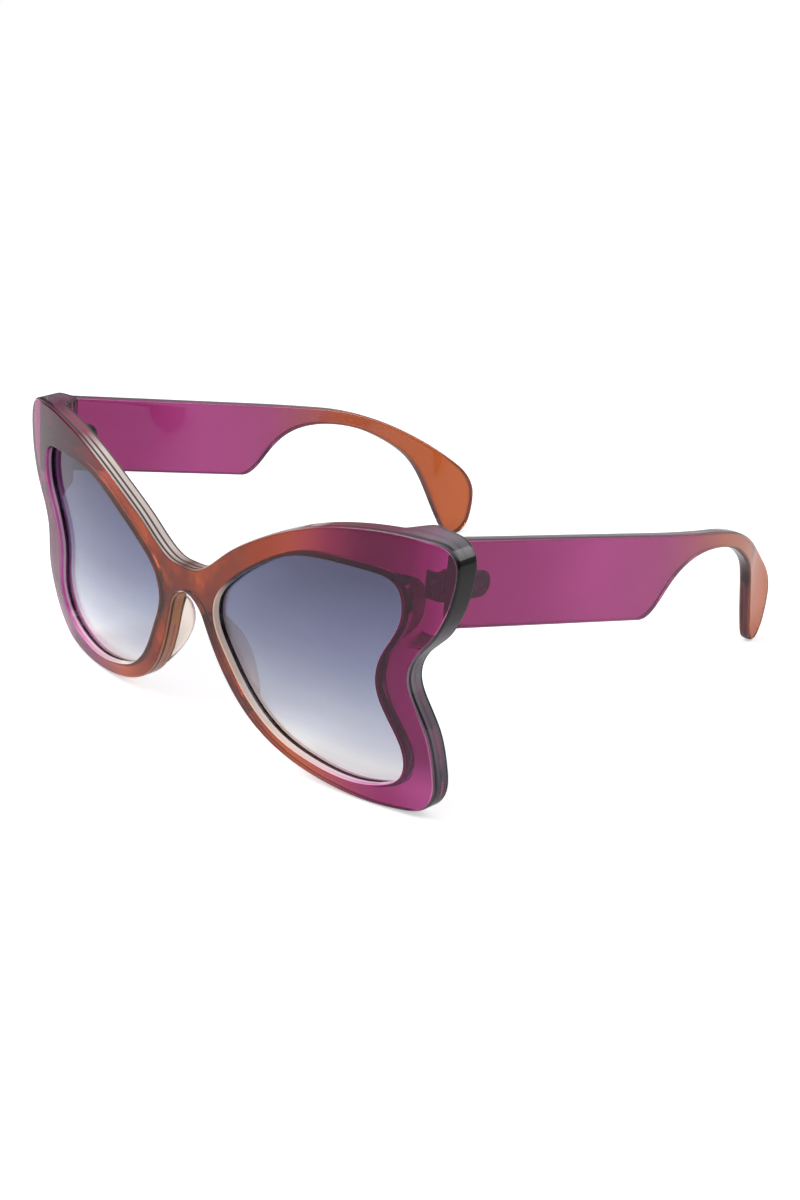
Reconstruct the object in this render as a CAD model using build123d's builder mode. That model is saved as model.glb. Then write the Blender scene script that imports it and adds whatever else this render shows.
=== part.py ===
"""Butterfly sunglasses: a winged plastic front with two lenses, and two wide
blade temples that fold on metal barrel hinges.

The glasses stand open on a table, on the low points of the two wings and on
the two temple tips. The origin is at the centre of the base of the box around
them. X runs across the face, +Y runs back along the temples and +Z is up.
All lengths are in millimetres and all angles in degrees.
"""

import os
from math import cos, radians, sin, sqrt, tan

from build123d import *

os.makedirs("parts", exist_ok=True)

# Lens openings and the rim around them
LENS_WIDTH = 56.6
LENS_HEIGHT = 52.6
BRIDGE_WIDTH = 21.4
WING_MARGIN = 12.0
BROW_MARGIN = 9.3
CHEEK_MARGIN = 4.5
RIM_DEPTH = 4.4
RIM_BEVEL = 0.7
BLANK_DEPTH = 22.8

# Wrap of the front face: a barrel lying across the face, with domed ends
FACE_RADIUS = 186.5
FACE_FLAT = 35.8
FACE_AXIS_HEIGHT = 38.8

# Lenses and the groove that holds them
LENS_SETBACK = 2.2
LENS_THICKNESS = 1.3
GROOVE_DEPTH = 0.7
LENS_CLEARANCE = 0.05

# Lugs behind the wing corners, where the temples butt
LUG_DEPTH = 5.7
LUG_LEAN = 7.5
LUG_SLOPE = 42.0
LUG_INNER_MARGIN = 3.4
LUG_LOWER_MARGIN = 0.6

# Nose pads
PAD_THICKNESS = 2.6
PAD_REACH = 6.2
PAD_HEIGHT = 25.5
PAD_TOP_HEIGHT = 34.0

# Temples
TEMPLE_INSET = 4.1
TEMPLE_THICKNESS = 3.4
TEMPLE_SLOPE = 13.8
TEMPLE_TOP_DROP = 1.2
TEMPLE_REACH = 136.9
BLADE_HEIGHT = 20.2
EAR_DROP = 34.0
BEND_START = 63.5
BEND_RADIUS = 135.0
BEND_ANGLE = 24.3
HEEL_BEND_RADIUS = 97.0
HEEL_BEND_ANGLE = 20.0
TEMPLE_ROUND = 0.8
BUTT_GAP = 0.12

# Barrel hinges
HINGE_DROP = 10.9
HINGE_HEIGHT = 5.9
BARREL_RADIUS = 1.3
BARREL_CLEARANCE = 0.15
KNUCKLE_COUNT = 5
KNUCKLE_GAP = 0.08
LEAF_THICKNESS = 0.9
LEAF_CLEARANCE = 0.03
FRONT_LEAF_REACH = 3.0
TEMPLE_LEAF_REACH = 8.2
LEAF_HEEL = 0.8
KNUCKLE_WEB_SHARE = 0.9
SCREW_RADIUS = 0.55
SCREW_CLEARANCE = 0.04
SCREW_HEAD_RADIUS = 1.1
SCREW_HEAD_HEIGHT = 0.5
SCREW_SLOT_WIDTH = 0.3
SCREW_SLOT_DEPTH = 0.25

# One overrun serves every cut that has to pass right through, and one tolerance
# tells which edges lie on the front face
OVERRUN = 3.0
SEAM_TOLERANCE = 0.01

# Outer edge of half the front, from the bridge's top round the wing and back to
# the bridge's underside: shares of the half width and of the height
OUTLINE_SHARES = [
    (0.000, 0.655), (0.050, 0.658), (0.112, 0.690), (0.200, 0.765), (0.300, 0.836),
    (0.430, 0.909), (0.560, 0.961), (0.690, 0.990), (0.810, 1.000), (0.908, 0.996),
    (0.966, 0.982), (0.995, 0.943), (0.999, 0.880), (0.974, 0.757), (0.924, 0.655),
    (0.878, 0.583), (0.865, 0.515), (0.884, 0.430), (0.912, 0.330), (0.919, 0.210),
    (0.902, 0.092), (0.862, 0.034), (0.785, 0.008), (0.668, 0.000), (0.532, 0.015),
    (0.388, 0.056), (0.241, 0.154), (0.137, 0.315), (0.088, 0.444), (0.052, 0.522),
    (0.000, 0.549),
]

# Edge of a lens opening, from its brow round the nose side: shares of the lens
# width from the nose side and of the lens height from the bottom
OPENING_SHARES = [
    (0.495, 0.979), (0.297, 0.886), (0.106, 0.749), (0.020, 0.650), (0.000, 0.546),
    (0.057, 0.397), (0.171, 0.211), (0.322, 0.082), (0.474, 0.027), (0.689, 0.000),
    (0.832, 0.027), (0.940, 0.096), (0.970, 0.211), (0.928, 0.352), (0.877, 0.513),
    (0.908, 0.660), (0.989, 0.829), (0.968, 0.962), (0.829, 1.000), (0.650, 1.000),
]

# Side view of a temple, from its top front corner: shares of the reach along the
# blade, and of the blade height or of the ear drop down from the top edge
TOP_EDGE_SHARES = [
    (0.646, 0.010), (0.735, 0.044), (0.805, 0.112), (0.880, 0.228),
    (0.940, 0.350), (0.985, 0.480), (1.003, 0.600),
]
TIP_SHARES = [
    (1.007, 0.700), (1.006, 0.830), (0.997, 0.945), (0.978, 1.005), (0.957, 0.990),
    (0.939, 0.910), (0.918, 0.774), (0.888, 0.570), (0.850, 0.380), (0.795, 0.250),
    (0.733, 0.167), (0.666, 0.140), (0.600, 0.172), (0.549, 0.265), (0.517, 0.390),
]
BLADE_CORNER_SHARES = [(0.481, 0.945), (0.467, 1.000), (0.448, 1.015)]
BLADE_FRONT_SHARE = 0.955

# The outline's points that run up the nose side of a rim, and its tightest point
# under the wing corner
NOSE_SIDE = slice(25, 30)
WING_WAIST = 12

# How many points are set beside an edge for each share that shaped it, and where
# along an edge it is tested against the front face
POINTS_PER_SHARE = 3
PROBE_SHARES = (0, 0.25, 0.5, 0.75, 1)

# Sizes that follow from the ones above
half_flat = FACE_FLAT / 2
half_width = BRIDGE_WIDTH / 2 + LENS_WIDTH + WING_MARGIN
frame_height = CHEEK_MARGIN + LENS_HEIGHT + BROW_MARGIN
slope_cos, slope_sin = cos(radians(TEMPLE_SLOPE)), sin(radians(TEMPLE_SLOPE))
lean_cos, lean_sin = cos(radians(LUG_LEAN)), sin(radians(LUG_LEAN))


def face_sag(x, z):
    """Return how far the front face lies behind its foremost line at x and z."""
    across = max(abs(x) - half_flat, 0)
    above = z - FACE_AXIS_HEIGHT
    return FACE_RADIUS - sqrt(FACE_RADIUS**2 - across**2 - above**2)


# The lug's back plane passes LUG_DEPTH behind the face at the wing's waist, and
# leans back with the hinge. The heel of the ear part is the rearmost point.
wing_x = OUTLINE_SHARES[WING_WAIST][0] * half_width
wing_z = OUTLINE_SHARES[WING_WAIST][1] * frame_height
temple_top_z = frame_height - TEMPLE_TOP_DROP
temple_outer_x = half_width - TEMPLE_INSET
temple_inner_x = temple_outer_x - TEMPLE_THICKNESS
butt_sag = face_sag(wing_x, wing_z) + LUG_DEPTH + (temple_top_z - wing_z) * tan(radians(LUG_LEAN))
heel_reach, heel_drop = TOP_EDGE_SHARES[-1]
overall_depth = (
    butt_sag + heel_reach * TEMPLE_REACH * slope_cos - heel_drop * EAR_DROP * slope_sin
)
face_y = -overall_depth / 2
ball_y = face_y + FACE_RADIUS
butt_y = face_y + butt_sag

# The hinge pin stands a barrel's radius clear of the lug and of the temple
pin_offset = BARREL_RADIUS + BARREL_CLEARANCE
pin_x = temple_inner_x - pin_offset
pin_z = temple_top_z - HINGE_DROP
pin_y = butt_y + (pin_z - temple_top_z) * tan(radians(LUG_LEAN)) + pin_offset / lean_cos

# Planes: side view of the front, the leaning butt plane, the hinge, and the temple's
# side and plan views, which slope down with its blade
BACK = Plane.XZ.offset(-(face_y + BLANK_DEPTH))
BUTT = Plane((0, butt_y, temple_top_z), x_dir=(1, 0, 0), z_dir=(0, -lean_cos, lean_sin))
HINGE = Plane((pin_x, pin_y, pin_z), x_dir=(1, 0, 0), z_dir=(0, lean_sin, lean_cos))
SIDE = Plane((0, butt_y, temple_top_z), x_dir=(0, slope_cos, -slope_sin), z_dir=(1, 0, 0))
PLAN = Plane((0, butt_y, temple_top_z), x_dir=(1, 0, 0), z_dir=(0, slope_sin, slope_cos))


def scaled(shares, width, height, x=0, y=0):
    """Return a table of shares as points, from a corner at x and y."""
    return [(x + across * width, y + up * height) for across, up in shares]


outline_points = scaled(OUTLINE_SHARES, half_width, frame_height)
left_outline_points = [(-x, z) for x, z in outline_points[-2:0:-1]]
opening_points = scaled(OPENING_SHARES, LENS_WIDTH, LENS_HEIGHT, BRIDGE_WIDTH / 2, CHEEK_MARGIN)


def domed_barrel(radius):
    """Return the barrel with domed ends whose near side is a face of the front."""
    diagonal = radius * sqrt(0.5)
    with BuildPart() as barrel:
        with BuildSketch(Plane((0, ball_y, FACE_AXIS_HEIGHT))):
            with BuildLine():
                Line((-half_flat - radius, 0), (half_flat + radius, 0))
                ThreePointArc(
                    (half_flat + radius, 0), (half_flat + diagonal, diagonal), (half_flat, radius)
                )
                Line((half_flat, radius), (-half_flat, radius))
                ThreePointArc(
                    (-half_flat, radius), (-half_flat - diagonal, diagonal), (-half_flat - radius, 0)
                )
            make_face()
        revolve(axis=Axis((0, ball_y, FACE_AXIS_HEIGHT), (1, 0, 0)))
    return barrel.part


def on_front_face(edge):
    """Return whether an edge bounds the front face and isn't a seam across it."""
    points = [edge @ place for place in PROBE_SHARES]
    on_face = all(abs(p.Y - face_y - face_sag(p.X, p.Z)) < SEAM_TOLERANCE for p in points)
    on_seam = all(abs(abs(p.X) - half_flat) < SEAM_TOLERANCE for p in points)
    return on_face and not on_seam


def face_shell(front_depth, back_depth):
    """Return the curved layer between two depths behind the front face."""
    return domed_barrel(FACE_RADIUS - front_depth) - domed_barrel(FACE_RADIUS - back_depth)


def beside(edge, width, count):
    """Return points spaced along an edge, moved to its right-hand side by a width."""
    places = [index / count for index in range(count + 1)]
    slopes = [edge % place for place in places]
    return [
        edge @ place + Vector(slope.Y, -slope.X) * width for place, slope in zip(places, slopes)
    ]


def right_opening(growth):
    """Return the right lens opening, grown by a width, as a face on the back plane."""
    edge = Spline(*opening_points, periodic=True)
    grown_points = beside(edge, growth, POINTS_PER_SHARE * len(opening_points))[:-1]
    with BuildSketch(BACK) as opening:
        with BuildLine():
            Spline(*grown_points, periodic=True)
        make_face()
    return opening.sketch


def right_lug():
    """Return the block that thickens the right wing corner up to the butt plane."""
    inner_x = pin_x - LUG_INNER_MARGIN
    lower = -BLADE_HEIGHT - LUG_LOWER_MARGIN
    with BuildPart() as lug:
        with BuildSketch(BUTT):
            with Locations(((inner_x + half_width + OVERRUN) / 2, (lower + OVERRUN) / 2)):
                Rectangle(half_width + OVERRUN - inner_x, OVERRUN - lower)
        extrude(amount=LUG_DEPTH, taper=-LUG_SLOPE)
    return lug.part


# Front: the layer between face and back, with lugs, cut to the winged outline
through = BACK.origin.Y - face_y + OVERRUN
lug = right_lug()
rim_front = domed_barrel(FACE_RADIUS)
rim_back = domed_barrel(FACE_RADIUS - RIM_DEPTH)
opening_cut = extrude(right_opening(0), amount=through)
groove_cut = extrude(right_opening(GROOVE_DEPTH), amount=through) & face_shell(
    LENS_SETBACK - LENS_CLEARANCE, LENS_SETBACK + LENS_THICKNESS + LENS_CLEARANCE
)
with BuildPart() as blank_hollow:
    add(rim_back)
    add(lug, mode=Mode.SUBTRACT)
    mirror(lug, about=Plane.YZ, mode=Mode.SUBTRACT)

# The pocket in the lug that seats the hinge's front leaf
leaf_depth = LEAF_THICKNESS + LEAF_CLEARANCE
with BuildPart() as front_pocket:
    with BuildSketch(HINGE.offset(-HINGE_HEIGHT / 2 - LEAF_CLEARANCE)):
        with Locations((-FRONT_LEAF_REACH - LEAF_CLEARANCE, -pin_offset - leaf_depth)):
            Rectangle(
                FRONT_LEAF_REACH + BARREL_RADIUS + 2 * LEAF_CLEARANCE,
                leaf_depth + BARREL_CLEARANCE,
                align=(Align.MIN, Align.MIN),
            )
    extrude(amount=HINGE_HEIGHT + 2 * LEAF_CLEARANCE)

with BuildPart() as front_frame:
    with BuildSketch(BACK):
        with BuildLine():
            Spline(*outline_points, *left_outline_points, periodic=True)
        make_face()
    extrude(amount=through)
    add(rim_front, mode=Mode.INTERSECT)
    add(blank_hollow.part, mode=Mode.SUBTRACT)
    chamfer([edge for edge in front_frame.edges() if on_front_face(edge)], RIM_BEVEL)
    for cut in (opening_cut, groove_cut, front_pocket.part):
        add(cut, mode=Mode.SUBTRACT)
        mirror(cut, about=Plane.YZ, mode=Mode.SUBTRACT)
front_frame.part.label = "front_frame"

# Lenses: the layer of the face's curve that fills the groove, less a clearance
lens_blank = extrude(right_opening(GROOVE_DEPTH - LENS_CLEARANCE), amount=through)
lens_layer = face_shell(LENS_SETBACK, LENS_SETBACK + LENS_THICKNESS)
with BuildPart() as lens_right:
    add(lens_blank)
    add(lens_layer, mode=Mode.INTERSECT)
lens_right.part.label = "lens_right"

# Nose pads: crescents that stand back from the nose side of each rim
pad_bottom = PAD_TOP_HEIGHT - PAD_HEIGHT
pad_root_y = face_y + RIM_DEPTH / 2
with BuildSketch(Plane.YZ) as pad_side:
    with BuildLine():
        ThreePointArc(
            (pad_root_y, PAD_TOP_HEIGHT),
            (face_y + RIM_DEPTH + PAD_REACH, PAD_TOP_HEIGHT - PAD_HEIGHT / 2),
            (pad_root_y, pad_bottom),
        )
        Line((pad_root_y, pad_bottom), (pad_root_y, PAD_TOP_HEIGHT))
    make_face()
nose_points = outline_points[NOSE_SIDE]
nose_side = Spline(*nose_points)
inner_points = beside(nose_side, PAD_THICKNESS, POINTS_PER_SHARE * len(nose_points))
with BuildSketch(BACK) as pad_strip:
    with BuildLine():
        Spline(*nose_points)
        Line(nose_points[0], inner_points[0])
        Line(nose_points[-1], inner_points[-1])
        Spline(*inner_points)
    make_face()
pad_blank = extrude(pad_strip.sketch, amount=through)
pad_outline = extrude(pad_side.sketch, amount=half_width)
with BuildPart() as nose_pad_right:
    add(pad_blank)
    add(pad_outline, mode=Mode.INTERSECT)
    add(rim_back, mode=Mode.INTERSECT)
nose_pad_right.part.label = "nose_pad_right"

# Temples: the side view cut from a strip that runs straight, bends in towards the
# head and straightens again at the heel
top_edge = scaled(TOP_EDGE_SHARES, TEMPLE_REACH, -EAR_DROP)
tip_edge = scaled(TIP_SHARES, TEMPLE_REACH, -EAR_DROP)
corner_edge = scaled(BLADE_CORNER_SHARES, TEMPLE_REACH, -BLADE_HEIGHT)
front_bottom = (-OVERRUN, -BLADE_HEIGHT * BLADE_FRONT_SHARE)
strip_starts = (temple_inner_x, -OVERRUN), (temple_outer_x, -OVERRUN)
bend_starts = (temple_inner_x, BEND_START), (temple_outer_x, BEND_START)
with BuildSketch(PLAN) as temple_plan:
    with BuildLine():
        Line(*strip_starts)
        Line(strip_starts[0], bend_starts[0])
        inner_bend = JernArc(bend_starts[0], (0, 1), BEND_RADIUS - TEMPLE_THICKNESS, BEND_ANGLE)
        inner_heel = JernArc(
            inner_bend @ 1, inner_bend % 1, HEEL_BEND_RADIUS + TEMPLE_THICKNESS, -HEEL_BEND_ANGLE
        )
        Line(strip_starts[1], bend_starts[1])
        outer_bend = JernArc(bend_starts[1], (0, 1), BEND_RADIUS, BEND_ANGLE)
        outer_heel = JernArc(outer_bend @ 1, outer_bend % 1, HEEL_BEND_RADIUS, -HEEL_BEND_ANGLE)
        Line(inner_heel @ 1, outer_heel @ 1)
    make_face()
temple_strip = extrude(temple_plan.sketch, amount=frame_height, both=True)
with BuildPart() as temple_pocket:
    with BuildSketch(HINGE.offset(-HINGE_HEIGHT / 2 - LEAF_CLEARANCE)):
        with Locations((pin_offset - BARREL_CLEARANCE, -LEAF_HEEL - LEAF_CLEARANCE)):
            Rectangle(
                leaf_depth + BARREL_CLEARANCE,
                LEAF_HEEL + TEMPLE_LEAF_REACH + 2 * LEAF_CLEARANCE,
                align=(Align.MIN, Align.MIN),
            )
    extrude(amount=HINGE_HEIGHT + 2 * LEAF_CLEARANCE)
with BuildPart() as temple_right:
    with BuildSketch(SIDE.offset(half_width)):
        with BuildLine():
            Polyline(corner_edge[-1], front_bottom, (-OVERRUN, 0), top_edge[0])
            Spline(*top_edge, *tip_edge, *corner_edge)
        make_face()
    extrude(amount=-half_width)
    add(temple_strip, mode=Mode.INTERSECT)
    split(bisect_by=BUTT.offset(-BUTT_GAP), keep=Keep.BOTTOM)
    butt_edges = temple_right.faces().sort_by(Axis.Y)[0].edges()
    fillet([edge for edge in temple_right.edges() if edge not in butt_edges], TEMPLE_ROUND)
    add(temple_pocket.part, mode=Mode.SUBTRACT)
temple_right.part.label = "temple_right"

# Hinges: two leaves whose knuckles take turns along one screw
knuckle_pitch = (HINGE_HEIGHT + KNUCKLE_GAP) / KNUCKLE_COUNT
knuckle_height = knuckle_pitch - KNUCKLE_GAP
bore_radius = SCREW_RADIUS + SCREW_CLEARANCE
leaf_end = TEMPLE_LEAF_REACH - HINGE_HEIGHT / 2


def knuckle_planes(first):
    """Return the base planes of every second knuckle, counted from the first."""
    return [
        HINGE.offset(-HINGE_HEIGHT / 2 + index * knuckle_pitch)
        for index in range(first, KNUCKLE_COUNT, 2)
    ]


with BuildPart() as hinge_front_leaf_right:
    with BuildSketch(HINGE.offset(-HINGE_HEIGHT / 2)):
        with Locations((-FRONT_LEAF_REACH, -pin_offset - LEAF_THICKNESS)):
            Rectangle(
                FRONT_LEAF_REACH + BARREL_RADIUS, LEAF_THICKNESS, align=(Align.MIN, Align.MIN)
            )
    extrude(amount=HINGE_HEIGHT)
    for plane in knuckle_planes(0):
        with BuildSketch(plane):
            Circle(BARREL_RADIUS)
            with Locations((0, -pin_offset / 2 - LEAF_THICKNESS / 2)):
                Rectangle(2 * BARREL_RADIUS * KNUCKLE_WEB_SHARE, pin_offset + LEAF_THICKNESS)
            Circle(bore_radius, mode=Mode.SUBTRACT)
        extrude(amount=knuckle_height)
hinge_front_leaf_right.part.label = "hinge_front_leaf_right"

with BuildPart() as hinge_temple_leaf_right:
    with BuildSketch(Plane(
        HINGE.from_local_coords(Vector(pin_offset, 0, 0)),
        x_dir=HINGE.y_dir, z_dir=HINGE.x_dir,
    )):
        with BuildLine():
            ThreePointArc(
                (leaf_end, -HINGE_HEIGHT / 2), (TEMPLE_LEAF_REACH, 0), (leaf_end, HINGE_HEIGHT / 2)
            )
            Polyline(
                (leaf_end, HINGE_HEIGHT / 2), (-LEAF_HEEL, HINGE_HEIGHT / 2),
                (-LEAF_HEEL, -HINGE_HEIGHT / 2), (leaf_end, -HINGE_HEIGHT / 2),
            )
        make_face()
    extrude(amount=LEAF_THICKNESS)
    for plane in knuckle_planes(1):
        with BuildSketch(plane):
            Circle(BARREL_RADIUS)
            with Locations((pin_offset / 2 + LEAF_THICKNESS / 2, 0)):
                Rectangle(pin_offset + LEAF_THICKNESS, 2 * LEAF_HEEL)
            Circle(bore_radius, mode=Mode.SUBTRACT)
        extrude(amount=knuckle_height)
hinge_temple_leaf_right.part.label = "hinge_temple_leaf_right"

with BuildPart() as hinge_screw_right:
    with BuildSketch(HINGE.offset(-HINGE_HEIGHT / 2)):
        Circle(SCREW_RADIUS)
    extrude(amount=HINGE_HEIGHT)
    with BuildSketch(HINGE.offset(HINGE_HEIGHT / 2)):
        Circle(SCREW_HEAD_RADIUS)
    extrude(amount=SCREW_HEAD_HEIGHT)
    with BuildSketch(HINGE.offset(HINGE_HEIGHT / 2 + SCREW_HEAD_HEIGHT)):
        Rectangle(2 * SCREW_HEAD_RADIUS, SCREW_SLOT_WIDTH)
    extrude(amount=-SCREW_SLOT_DEPTH, mode=Mode.SUBTRACT)
hinge_screw_right.part.label = "hinge_screw_right"

right_parts = [
    lens_right, nose_pad_right, temple_right,
    hinge_front_leaf_right, hinge_temple_leaf_right, hinge_screw_right,
]
export_step(front_frame.part, "parts/front_frame.step")
for right in right_parts:
    name = right.part.label
    export_step(right.part, f"parts/{name}.step")
    with BuildPart() as left:
        add(mirror(right.part, about=Plane.YZ))
    left.part.label = name.replace("right", "left")
    export_step(left.part, f"parts/{left.part.label}.step")
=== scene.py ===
"""Looks of a pair of butterfly sunglasses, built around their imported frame.

The clear plastic front and temples, the graded lenses and the nose pads are
surfaces worked out with numpy. The metal hinges keep their own shapes and get
a better finish. Shapes are in millimetres until a mesh is made, finishes and the
set in metres, with X across the face, Y back along the temples and Z up.
"""

import logging
import math
from dataclasses import dataclass, field
from enum import Enum

import bmesh
import bpy
import numpy as np
from mathutils import Matrix, Vector


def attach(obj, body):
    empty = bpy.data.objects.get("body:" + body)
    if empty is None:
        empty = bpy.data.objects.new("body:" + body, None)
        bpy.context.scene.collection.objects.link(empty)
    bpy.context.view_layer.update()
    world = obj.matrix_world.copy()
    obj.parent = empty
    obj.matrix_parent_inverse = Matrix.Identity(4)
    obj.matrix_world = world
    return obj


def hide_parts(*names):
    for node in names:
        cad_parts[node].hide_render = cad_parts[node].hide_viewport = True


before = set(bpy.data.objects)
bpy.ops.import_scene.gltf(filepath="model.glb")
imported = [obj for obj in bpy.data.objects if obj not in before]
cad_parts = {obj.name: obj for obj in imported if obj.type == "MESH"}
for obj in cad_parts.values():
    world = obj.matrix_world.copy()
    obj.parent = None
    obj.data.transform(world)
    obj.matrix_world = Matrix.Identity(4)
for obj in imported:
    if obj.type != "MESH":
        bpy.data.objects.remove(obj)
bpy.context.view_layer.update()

log = logging.getLogger("sunglasses")

MM = 0.001
ZONES = "zones"
WELD = 2e-6
LEAST_EDGE = 1e-7
ON_MIDDLE = 1e-6
SHARP_TURN = 38.0
DENSE = 12
FLOW_NOISE = (70.0, 2.0, 0.4)
HAZE_NOISE = (260.0, 4.0, 0.6)
RIPPLE_NOISE = (130.0, 1.0, 0.3)

Span = tuple[float, float]
Spot = tuple[float, float, float]
Stops = tuple[tuple[float, str], ...]

# Outer edge of half the front, from the bridge's top round the wing and back to
# the bridge's underside: shares of the half width and of the height
OUTLINE_SHARES = [
    (0.000, 0.655), (0.050, 0.658), (0.112, 0.690), (0.200, 0.765), (0.300, 0.836),
    (0.430, 0.909), (0.560, 0.961), (0.690, 0.990), (0.810, 1.000), (0.908, 0.996),
    (0.966, 0.982), (0.995, 0.943), (0.999, 0.880), (0.974, 0.757), (0.924, 0.655),
    (0.878, 0.583), (0.865, 0.515), (0.884, 0.430), (0.912, 0.330), (0.919, 0.210),
    (0.902, 0.092), (0.862, 0.034), (0.785, 0.008), (0.668, 0.000), (0.532, 0.015),
    (0.388, 0.056), (0.241, 0.154), (0.137, 0.315), (0.088, 0.444), (0.052, 0.522),
    (0.000, 0.549),
]

# Edge of a lens opening, from its brow round the nose side: shares of the lens
# width from the nose side and of the lens height from the bottom
OPENING_SHARES = [
    (0.495, 0.979), (0.297, 0.886), (0.106, 0.749), (0.020, 0.650), (0.000, 0.546),
    (0.057, 0.397), (0.171, 0.211), (0.322, 0.082), (0.474, 0.027), (0.689, 0.000),
    (0.832, 0.027), (0.940, 0.096), (0.970, 0.211), (0.928, 0.352), (0.877, 0.513),
    (0.908, 0.660), (0.989, 0.829), (0.968, 0.962), (0.829, 1.000), (0.650, 1.000),
]

# For each point of the outer edge, the place on the opening's edge that faces it
# across the rim, counted in the opening's points
RIM_PARTNERS = [
    22.90, 22.60, 22.10, 21.65, 21.00, 20.20, 19.15, 18.25, 17.55, 17.15, 16.90,
    16.70, 16.40, 15.80, 15.40, 14.90, 14.30, 13.65, 13.00, 12.00, 11.20, 10.80,
    10.10, 9.15, 8.40, 7.45, 6.20, 5.25, 4.50, 4.05, 3.80,
]

# The outer edge's points on the nose side, where a pad stands
NOSE_SIDE = slice(25, 30)

# Side view of a temple, from its top front corner: shares of the reach along the
# blade, and of the blade height or of the ear drop down from the top edge
TOP_EDGE_SHARES = [
    (0.646, 0.010), (0.735, 0.044), (0.805, 0.112), (0.880, 0.228),
    (0.940, 0.350), (0.985, 0.480), (1.003, 0.600),
]
TIP_SHARES = [
    (1.007, 0.700), (1.006, 0.830), (0.997, 0.945), (0.978, 1.005), (0.957, 0.990),
    (0.939, 0.910), (0.918, 0.774), (0.888, 0.570), (0.850, 0.380), (0.795, 0.250),
    (0.733, 0.167), (0.666, 0.140), (0.600, 0.172), (0.549, 0.265), (0.517, 0.390),
]
BLADE_CORNER_SHARES = [(0.481, 0.945), (0.467, 1.000), (0.448, 1.015)]

# Places along a temple's top edge and the places that face them on its lower
# edge. Whole numbers count the curve's points, and one more stands at each butt.
# Both edges end at the tip's lowest point.
TIP_PLACE = 10
TEMPLE_TOP_PLACES = [
    -1.0, -0.307, -0.269, -0.243, -0.178, -0.127, -0.054, *range(TIP_PLACE + 1),
]
TEMPLE_LOWER_PLACES = [
    25.0, 24.0, 23.0, 22.0, 21.0, 20.0, 19.0, 18.3, 17.05, 16.15, 15.0, 14.0, 13.5, 13.15,
    12.8, 12.1, 11.2, TIP_PLACE,
]


class Side(Enum):
    """The wearer's sides, as signs of X."""

    RIGHT = 1
    LEFT = -1

    @property
    def word(self) -> str:
        """Return the side's name in the part's node names."""
        return self.name.lower()


# Curves


def scaled(shares: list[tuple[float, float]], width: float, height: float,
           x: float = 0.0, z: float = 0.0) -> np.ndarray:
    """Return a table of shares as points.

    Args:
        shares: Pairs of shares, across and up.
        width: Length of a whole share across.
        height: Length of a whole share up.
        x: Corner that the shares start from, across.
        z: Corner that the shares start from, up.

    Returns:
        An array of points, one row each.
    """
    return np.array(shares) * (width, height) + (x, z)


def left_of(along: np.ndarray) -> np.ndarray:
    """Return directions in a plane, one row each, turned a quarter to the left."""
    return np.c_[-along[:, 1], along[:, 0]]


@dataclass
class Curve:
    """A cubic spline through points in a plane, its parameter the chord length.

    Each span is a cubic whose second derivatives agree at the joints. They come
    from one linear system. A closed curve wraps round, and an open one starts and
    ends in the direction of a parabola through its outer three points.
    """

    points: np.ndarray
    closed: bool = True
    knots: np.ndarray = field(init=False)
    bends: np.ndarray = field(init=False)
    corners: np.ndarray = field(init=False)

    def __post_init__(self) -> None:
        """Solve for the second derivative at each point."""
        p = np.vstack([self.points, self.points[:1]]) if self.closed else self.points
        h = np.linalg.norm(np.diff(p, axis=0), axis=1)
        slopes = np.diff(p, axis=0) / h[:, None]
        n = len(p)
        system, right = np.zeros((n, n)), np.zeros((n, 2))
        inner = np.arange(1, n - 1)
        system[inner, inner - 1] = h[:-1]
        system[inner, inner] = 2 * (h[:-1] + h[1:])
        system[inner, inner + 1] = h[1:]
        right[inner] = 6 * (slopes[1:] - slopes[:-1])
        if self.closed:
            system[0, [0, 1, n - 2]] = 2 * (h[-1] + h[0]), h[0], h[-1]
            right[0] = 6 * (slopes[0] - slopes[-1])
            system[-1, [0, n - 1]] = 1, -1
        else:
            start = slopes[0] - (slopes[1] - slopes[0]) * h[0] / (h[0] + h[1])
            end = slopes[-1] + (slopes[-1] - slopes[-2]) * h[-1] / (h[-1] + h[-2])
            system[0, :2] = 2 * h[0], h[0]
            system[-1, -2:] = h[-1], 2 * h[-1]
            right[0], right[-1] = 6 * (slopes[0] - start), 6 * (end - slopes[-1])
        self.bends = np.linalg.solve(system, right)
        self.knots = h
        self.corners = p

    def at(self, places: np.ndarray) -> tuple[np.ndarray, np.ndarray]:
        """Return points and the unit directions to their left.

        Args:
            places: Places along the curve, where n and a half is midway, by chord
                length, between points n and n + 1.

        Returns:
            The points and the directions square to the curve, one row each.
        """
        spans = len(self.knots)
        places = np.mod(places, spans) if self.closed else np.clip(places, 0, spans)
        i = np.minimum(places.astype(int), spans - 1)
        h = self.knots[i][:, None]
        b = (places - i)[:, None]
        a = 1 - b
        p0, p1, m0, m1 = self.corners[i], self.corners[i + 1], self.bends[i], self.bends[i + 1]
        points = a * p0 + b * p1 + ((a**3 - a) * m0 + (b**3 - b) * m1) * h**2 / 6
        along = (p1 - p0) / h + ((1 - 3 * a**2) * m0 + (3 * b**2 - 1) * m1) * h / 6
        return points, left_of(along / np.linalg.norm(along, axis=1)[:, None])

    def even_places(self, first: float, last: float, count: int) -> np.ndarray:
        """Return places whose points stand at even distances from each other."""
        dense = np.linspace(first, last, count * DENSE)
        points, _ = self.at(dense)
        run = np.r_[0, np.cumsum(np.linalg.norm(np.diff(points, axis=0), axis=1))]
        return np.interp(np.linspace(0, run[-1], count), run, dense)


# Meshes


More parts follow.
